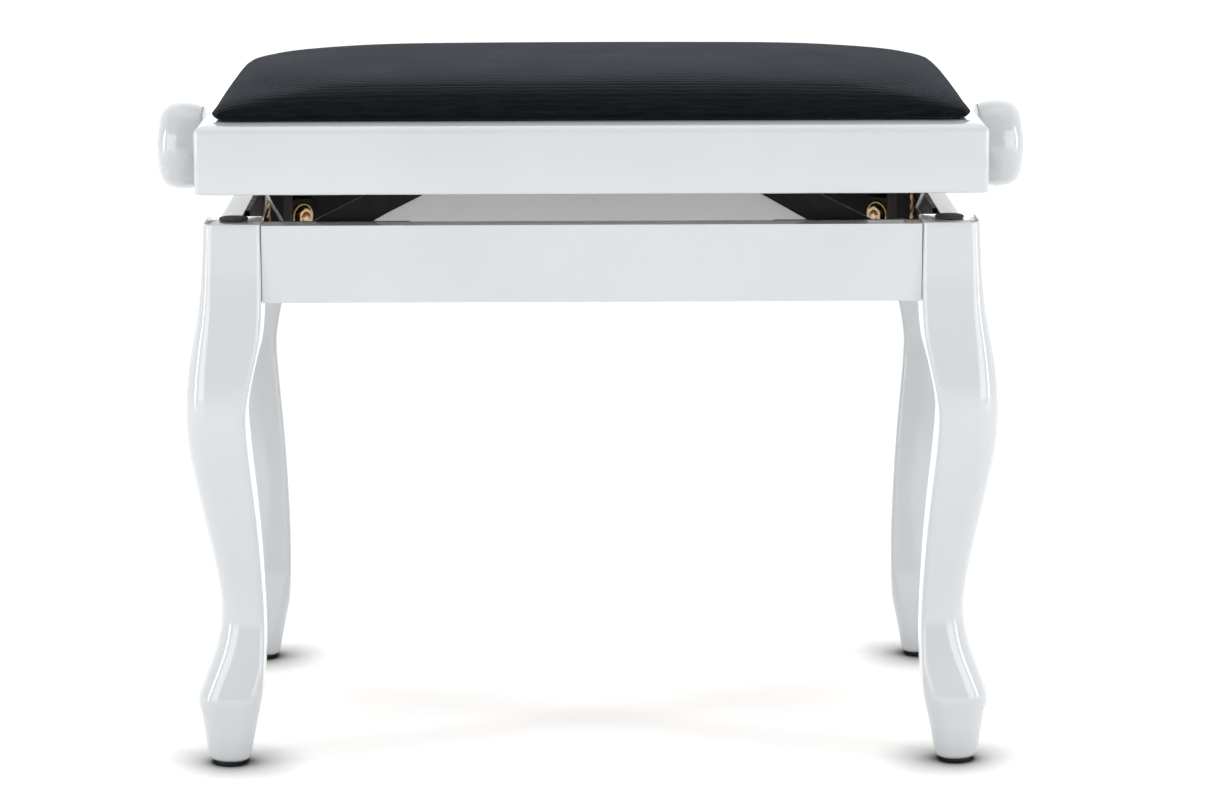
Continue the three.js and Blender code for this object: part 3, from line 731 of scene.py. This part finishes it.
THREAD_LEAD = 3.0 * MM
THREAD_DEPTH = 1.1 * MM
THREAD_REACH = 236 * MM
THREAD_SEGMENTS = 20


def build_spindle():
    """Rod with a screw thread between the bushes, cut by a helix."""
    low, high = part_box("spindle")
    radius = (high.z - low.z) / 2
    middle_z = (low.z + high.z) / 2
    stations = np.arange(-THREAD_REACH, THREAD_REACH, THREAD_LEAD / 5)
    stations = np.concatenate([[low.x, -THREAD_REACH - 2 * MM], stations, [THREAD_REACH + 2 * MM, high.x]])
    vertices = []
    for x in stations:
        fade = np.clip((THREAD_REACH - abs(x)) / (3 * MM), 0.0, 1.0)
        for i in range(THREAD_SEGMENTS):
            angle = 2 * math.pi * i / THREAD_SEGMENTS
            phase = (x / THREAD_LEAD + i / THREAD_SEGMENTS) % 1.0
            cut = THREAD_DEPTH * fade * np.clip(3.2 * abs(phase - 0.5) - 0.3, 0.0, 1.0)
            reach = radius - 0.1 * MM - cut
            vertices.append((x, reach * math.cos(angle), middle_z + reach * math.sin(angle)))
    make_piece("threaded_spindle", vertices, ring_faces(len(stations), THREAD_SEGMENTS), "spindle")


NECK_SHARE = 0.78  # radius of the outer half of a ferrule, of the radius of its inner half


def build_ferrule(side, sign):
    node = f"knob_ferrule_{side}"
    low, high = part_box(node)
    length = high.x - low.x
    radius = (high.z - low.z) / 2
    inner = low.x if sign > 0 else high.x
    centre = (inner, (low.y + high.y) / 2, (low.z + high.z) / 2)
    profile = rolled_disc(radius, 0.0, length * 0.45, 0.8 * MM)
    profile += [(radius * NECK_SHARE, length * 0.47)]
    profile += rolled_disc(radius * NECK_SHARE, length * 0.5, length, 0.5 * MM)
    lathe(f"collar_{side}", profile, (sign, 0, 0), centre, node, segments=64)


# ---- studs, nuts and washers ---------------------------------------------------------------------
HEX_SIDES = 6
NUT_RING_POINTS = 48


def hex_reach(angle, across, limit):
    """Distance from the axis to a hexagon's side at `angle`, cut off by a chamfer circle."""
    sector = 2 * math.pi / HEX_SIDES
    within = (angle + sector / 2) % sector - sector / 2
    return min(across / 2 / math.cos(within), limit)


def hoop(shape, centre, axis, points, reach):
    """Closed hoop about a level axis, from (distance along it, size) pairs read by `reach`."""
    side = Vector((axis[1], -axis[0], 0.0))
    vertices = []
    for along, size in shape:
        for i in range(points):
            angle = 2 * math.pi * i / points
            spoke = side * math.cos(angle) + Vector((0.0, 0.0, math.sin(angle)))
            vertices.append(Vector(centre) + Vector(axis) * along + spoke * reach(angle, size))
    return vertices, [face[::-1] for face in loop_faces(len(shape), points)]


def build_nut(name, node, centre, axis, across, thickness, bore):
    """Chamfered hexagon nut with an open bore. `centre` is on the face where it seats."""
    corner = across / 2 / math.cos(math.pi / HEX_SIDES)
    chamfer = thickness * 0.14
    shape = [
        (0.0, 0.93 * corner),
        (chamfer, corner),
        (thickness - chamfer, corner),
        (thickness, 0.93 * corner),
        (thickness, bore + 0.5 * MM),
        (thickness - 0.5 * MM, bore),
        (0.0, bore),
    ]

    def reach(angle, limit):
        return hex_reach(angle, across, limit)

    vertices, faces = hoop(shape, centre, axis, NUT_RING_POINTS, reach)
    make_piece(name, vertices, faces, node, replaces=False)


STUD_TAIL = 2 * MM
THREAD_PITCH = 1.0 * MM
NUT_CLEARANCE = 0.7 * MM


def threaded_profile(radius, length):
    """Profile of a threaded shank with an eased tip."""
    profile = [(radius, 0.0)]
    for turn in range(int(length / THREAD_PITCH)):
        profile.append((radius, (turn + 0.3) * THREAD_PITCH))
        profile.append((radius - 0.4 * MM, (turn + 0.6) * THREAD_PITCH))
    return profile + [(radius - 0.1 * MM, length - 0.3 * MM), (radius - 0.7 * MM, length)]


def build_stud(node, radius, nut_across, nut_thickness):
    """Threaded stud and lock nut in place of one plain CAD stud along Y."""
    low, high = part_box(node)
    inward = 1 if low.y < 0 else -1
    root, tip = (low.y, high.y) if inward > 0 else (high.y, low.y)
    axis = (0, inward, 0)
    centre_x, centre_z = (low.x + high.x) / 2, (low.z + high.z) / 2
    profile = threaded_profile(radius, abs(tip - root))
    lathe(f"{node}_shank", profile, axis, (centre_x, root, centre_z), node, segments=32)
    seat = (centre_x, tip - inward * (nut_thickness + STUD_TAIL), centre_z)
    build_nut(f"{node}_nut", node, seat, axis, nut_across, nut_thickness, radius + NUT_CLEARANCE)


# Radius of the thread, and width across flats and thickness of the nut.
PIVOT_STUD = (4.0 * MM, 12 * MM, 5 * MM)
CROSSING_PIN = (2.5 * MM, 8 * MM, 5 * MM)
CROSSING_HEAD_RADIUS = 4.4 * MM
CROSSING_HEAD_THICKNESS = 2.5 * MM


def build_crossing_head(end):
    """Domed head of the pin through the crossing of the arms."""
    node = f"crossing_pin_{end}"
    low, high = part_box(node)
    inward = 1 if low.y < 0 else -1
    root = low.y if inward > 0 else high.y
    profile = rolled_disc(CROSSING_HEAD_RADIUS, 0.0, CROSSING_HEAD_THICKNESS, 1.0 * MM)
    centre = ((low.x + high.x) / 2, root, (low.z + high.z) / 2)
    lathe(f"{node}_head", profile, (0, inward, 0), centre, node, segments=48, replaces=False)


# ---- small fittings at the ends of the lift ------------------------------------------------------
def trim_piece(name, vertices, faces, slot, material=None):
    """A piece that only exists here, riding on the lower frame."""
    piece = mesh_object(name, vertices, faces, material or MATERIALS[slot])
    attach(piece, "base")


WEDGE_GAP = 0.4 * MM
WEDGE_WIDTH = 16.6 * MM
WEDGE_HEIGHT = 26 * MM
WEDGE_EASE = 0.8 * MM
CUP_RADIUS = 10.0 * MM
CUP_WALL = 1.3 * MM
CUP_HEIGHT = 2.4 * MM
CUP_SEGMENTS = 64
BOLT_RADIUS = 3.0 * MM
BOLT_NUT_ACROSS = 12 * MM
BOLT_NUT_THICKNESS = 5 * MM


def corner_of(corner):
    """Signs of a corner's X and Y, and the inner corner of its post against the gusset plate."""
    plate_low, plate_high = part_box(f"gusset_plate_{corner}")
    apron_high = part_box(f"apron_{corner.split('_')[0]}")[1]
    sign_x = 1 if plate_low.x > 0 else -1
    sign_y = 1 if plate_low.y > 0 else -1
    face = min(abs(plate_low.y), abs(plate_high.y))
    return sign_x, sign_y, apron_high.x - WEDGE_GAP, face - WEDGE_GAP


def build_wedge(corner):
    """Near-black block, partly painted shade, across the inner corner of a post; the corner bolt pulls on
    it.
    """
    sign_x, sign_y, x, y = corner_of(corner)
    bolt_low, bolt_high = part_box(f"gusset_bolt_{corner}")
    bottom = (bolt_low.z + bolt_high.z) / 2 - WEDGE_HEIGHT / 2
    vertices = []
    rings = (
        (0.0, WEDGE_EASE),
        (WEDGE_EASE, 0.0),
        (WEDGE_HEIGHT - WEDGE_EASE, 0.0),
        (WEDGE_HEIGHT, WEDGE_EASE),
    )
    for rise, inset in rings:
        reach = WEDGE_WIDTH - 2.4 * inset
        near = [(x - inset, y - inset), (x - inset - reach, y - inset), (x - inset, y - inset - reach)]
        outline = soft_corners([(px, py, WEDGE_EASE) for px, py in near], steps=3)
        if sign_x * sign_y < 0:
            outline.reverse()
        vertices += [(sign_x * point.x, sign_y * point.y, bottom + rise) for point in outline]
    trim_piece(f"corner_wedge_{corner}", vertices, ring_faces(len(rings), len(outline)), "softwood")


def build_corner_bolt(corner):
    """Bolt, nut and cup washer square to the wedge, so at 45 degrees to the aprons."""
    node = f"gusset_bolt_{corner}"
    sign_x, sign_y, x, y = corner_of(corner)
    low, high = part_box(node)
    axis = Vector((-sign_x, -sign_y, 0.0)).normalized()
    seat = Vector((sign_x * (x - WEDGE_WIDTH / 2), sign_y * (y - WEDGE_WIDTH / 2), (low.z + high.z) / 2))
    nut_seat = seat + axis * WEDGE_GAP
    profile = threaded_profile(BOLT_RADIUS, BOLT_NUT_THICKNESS + STUD_TAIL)
    lathe(f"{node}_shank", profile, axis, nut_seat, node, segments=32)
    bore = BOLT_RADIUS + NUT_CLEARANCE
    build_nut(f"{node}_nut", node, nut_seat, axis, BOLT_NUT_ACROSS, BOLT_NUT_THICKNESS, bore)
    # The washer is an open ring: the near-black wedge behind it shows as painted shade inside the cup.
    inner = CUP_RADIUS - CUP_WALL
    rim = [
        (0.3 * MM, inner),
        (0.3 * MM, CUP_RADIUS),
        (CUP_HEIGHT - 0.5 * MM, CUP_RADIUS),
        (CUP_HEIGHT, CUP_RADIUS - 0.5 * MM),
        (CUP_HEIGHT, inner + 0.4 * MM),
        (CUP_HEIGHT - 0.4 * MM, inner),
    ]
    vertices, faces = hoop(rim, seat, axis, CUP_SEGMENTS, lambda _, radius: radius)
    trim_piece(f"cup_washer_{corner}", vertices, faces, "yellow_zinc")


STAY_THICKNESS = 1.3 * MM
# Side, distance forward, width, and (distance in from the side plate, height over the aprons) along
# each bent strip, in mm.
STAYS = {
    "steel_stay_left": ("left", 56, 8, [(9.3, 7.5), (20.0, -11.0), (20.0, -40.0)]),
    "steel_stay_right": ("right", 56, 8, [(4.0, 7.0), (8.4, -3.2), (1.8, -11.5), (1.8, -40.0)]),
    "leaf_spring_left": (
        "left",
        66,
        4,
        [(9.9, 7.5), (9.7, 3.0), (9.0, -2.0), (7.6, -7.0), (5.2, -12.0), (2.2, -17.0), (0.6, -22.0)],
    ),
}


def build_stay(name):
    """Bent strip of bright steel inside a side plate, towards the front."""
    side, forward, width, line = STAYS[name]
    plate_low, plate_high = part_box(f"side_plate_{side}")
    outward = 1 if plate_low.x > 0 else -1
    inner_x = min(abs(plate_low.x), abs(plate_high.x))
    section = (
        (0, forward),
        (0, forward + width),
        (STAY_THICKNESS, forward + width),
        (STAY_THICKNESS, forward),
    )
    vertices = []
    for inset, rise in line:
        x, z = inner_x - inset * MM, plate_high.z + rise * MM
        vertices += [(outward * (x - across), -front * MM, z) for across, front in section]
    faces = ring_faces(len(line), len(section))
    if outward < 0:
        faces = [face[::-1] for face in faces]
    trim_piece(name, vertices, faces, "bright_steel")


ROD_RADIUS = 2.3 * MM
ROD_LEAD = 7 * MM
ROD_SEGMENTS = 20
ROD_BACK = 46 * MM
ROD_TOP_GAP = 8 * MM
ROD_FOOT = 4 * MM
ROD_STATIONS = 80
ROD_FLUTE = 0.16  # depth of the flutes, of the radius


def build_twisted_rod(side):
    """Upright twisted rod of zinc plated steel inside a side plate, towards the rear."""
    plate_low, plate_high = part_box(f"side_plate_{side}")
    outward = 1 if plate_low.x > 0 else -1
    inner_x = min(abs(plate_low.x), abs(plate_high.x))
    centre_x = outward * (inner_x - ROD_RADIUS - 0.4 * MM)
    vertices = []
    levels = np.linspace(plate_low.z + ROD_FOOT, plate_high.z - ROD_TOP_GAP, ROD_STATIONS)
    for z in levels:
        for i in range(ROD_SEGMENTS):
            angle = 2 * math.pi * i / ROD_SEGMENTS
            lobe = 1 - ROD_FLUTE * (1 - math.cos(2 * angle - 2 * math.pi * z / ROD_LEAD))
            x = centre_x + ROD_RADIUS * lobe * math.cos(angle)
            vertices.append((x, ROD_BACK + ROD_RADIUS * lobe * math.sin(angle), z))
    faces = ring_faces(len(levels), ROD_SEGMENTS)
    trim_piece(f"twisted_rod_{side}", vertices, faces, "yellow_zinc", DARK_ZINC)


# ---- CAD nodes that keep their shape -------------------------------------------------------------
# Width of the eased edges of each finish, in mm.
BEVEL_WIDTHS = {
    "white_lacquer": 1.0,
    "black_steel": 0.4,
    "softwood": 0.8,
    "bright_steel": 0.5,
    "plywood": 0.5,
}
BEVEL_SEGMENTS = 3
BEVEL_ANGLE = math.radians(40)


def dress_cad_nodes():
    """Gives every node its finish, and eases the hard edges of those that stay in sight."""
    for name, node in frame["nodes"].items():
        slot = SLOT_OF[name]
        node.data.materials.clear()
        node.data.materials.append(MATERIALS[slot])
        if node.hide_render or slot not in BEVEL_WIDTHS:
            continue
        bevel = node.modifiers.new("soft_edges", "BEVEL")
        bevel.width = BEVEL_WIDTHS[slot] * MM
        bevel.segments = BEVEL_SEGMENTS
        bevel.limit_method = "ANGLE"
        bevel.angle_limit = BEVEL_ANGLE
        bevel.harden_normals = True


# ---- stage, lights and camera --------------------------------------------------------------------
FLOOR_REACH = 30.0
# Reach of the painted contact shadow round the feet.
PAINTED_SHADOW_REACH = 45 * MM


def build_stage():
    """White floor, its colour darkened by ambient occlusion round the feet as a painted contact shadow."""
    floor_mesh = bpy.data.meshes.new("studio_floor")
    corners = [(x * FLOOR_REACH, y * FLOOR_REACH, 0) for x, y in ((-1, -1), (1, -1), (1, 1), (-1, 1))]
    floor_mesh.from_pydata(corners, [], [(0, 1, 2, 3)])
    floor = bpy.data.objects.new("studio_floor", floor_mesh)
    bpy.context.scene.collection.objects.link(floor)
    look = Shader("studio_floor", Roughness=0.9, Specular_IOR_Level=0.0)
    paint = look.ramp(look.noise(2.0), (0.3, (0.93, 0.93, 0.93)), (0.7, (0.95, 0.95, 0.95)))
    # Painted contact shadow: ambient occlusion darkens the floor's colour close to the feet.
    painted_contact_shadow = look.nodes.new("ShaderNodeAmbientOcclusion")
    painted_contact_shadow.samples = 16
    painted_contact_shadow.inputs["Distance"].default_value = PAINTED_SHADOW_REACH
    shade = look.ramp(painted_contact_shadow.outputs["AO"], (0.35, (0.03, 0.03, 0.03)), (0.98, (1.0, 1.0, 1.0)))
    look.color(look.mixed(1.0, paint, shade, blend="MULTIPLY"))
    floor_mesh.materials.append(look.material)


def area_light(name, place, target, width, height, power):
    data = bpy.data.lights.new(name, "AREA")
    data.shape = "RECTANGLE"
    data.size, data.size_y = width, height
    data.energy = power
    light = bpy.data.objects.new(name, data)
    bpy.context.scene.collection.objects.link(light)
    light.location = place
    light.rotation_euler = (Vector(target) - Vector(place)).to_track_quat("-Z", "Y").to_euler()


ROOM_FRONT = 0.5
ROOM_BACK = 1.75


def build_world():
    """A soft room, lighter behind the bench than in front of it."""
    world = bpy.data.worlds.new("studio")
    bpy.context.scene.world = world
    world.use_nodes = True
    nodes, links = world.node_tree.nodes, world.node_tree.links
    direction = nodes.new("ShaderNodeTexCoord").outputs["Generated"]
    parts = nodes.new("ShaderNodeSeparateXYZ")
    links.new(direction, parts.inputs["Vector"])
    span = nodes.new("ShaderNodeMapRange")
    limits = {"From Min": -1.0, "From Max": 1.0, "To Min": ROOM_FRONT, "To Max": ROOM_BACK}
    for socket, value in limits.items():
        span.inputs[socket].default_value = value
    links.new(parts.outputs["Y"], span.inputs["Value"])
    background = nodes["Background"]
    background.inputs["Color"].default_value = (1.0, 1.0, 1.0, 1.0)
    links.new(span.outputs["Result"], background.inputs["Strength"])


def build_lights():
    seat = (0.0, 0.0, 0.25)
    for side in (-1, 1):
        area_light(f"softbox_{side}", (side * 1.6, -2.1, 1.0), seat, 1.3, 1.9, 17.0)
        area_light(f"strip_{side}", (side * 2.5, -1.1, 1.0), seat, 0.32, 2.0, 19.0)
    area_light("overhead", (0.0, 0.3, 2.6), seat, 1.6, 1.0, 3.0)


# The camera stands almost three metres in front of the bench, a little over seat height.
CAMERA_PLACE = (-0.0133, -2.881, 0.7963)
CAMERA_PITCH = 11.2
CAMERA_YAW = 0.49
CAMERA_ROLL = -0.13
CAMERA_LENS = 119.7


def build_camera():
    pitch, yaw, roll = (math.radians(a) for a in (CAMERA_PITCH, CAMERA_YAW, CAMERA_ROLL))
    forward = Vector((math.sin(yaw) * math.cos(pitch), math.cos(yaw) * math.cos(pitch), -math.sin(pitch)))
    level = Vector((math.cos(yaw), -math.sin(yaw), 0.0))
    right = level * math.cos(roll) + level.cross(forward) * math.sin(roll)
    up = right.cross(forward)
    data = bpy.data.cameras.new("camera")
    data.lens = CAMERA_LENS
    data.sensor_width = 36.0
    camera = bpy.data.objects.new("camera", data)
    bpy.context.scene.collection.objects.link(camera)
    camera.matrix_world = Matrix((right, up, -forward)).transposed().to_4x4()
    camera.location = CAMERA_PLACE
    bpy.context.scene.camera = camera
    bpy.context.scene.view_settings.view_transform = "Standard"


# ---- the bench -----------------------------------------------------------------------------------
build_camera()
build_world()
build_lights()
build_stage()
for corner in CORNERS:
    build_leg(corner)
    build_disc(f"glide_{corner}", f"foot_glide_{corner}", GLIDE_ROLL)
    build_disc(f"bump_pad_{corner}", f"post_pad_{corner}", PAD_ROLL)
    build_wedge(corner)
    build_corner_bolt(corner)
for end in ("front", "rear"):
    for level in ("low", "high"):
        build_stud(f"{level}_pivot_stud_{end}", *PIVOT_STUD)
    build_stud(f"crossing_pin_{end}", *CROSSING_PIN)
    build_crossing_head(end)
build_seat_frame()
for side, sign in (("left", -1), ("right", 1)):
    build_knob(side, sign)
    build_ferrule(side, sign)
    build_twisted_rod(side)
for name in STAYS:
    build_stay(name)
build_spindle()
build_cushion()
dress_cad_nodes()
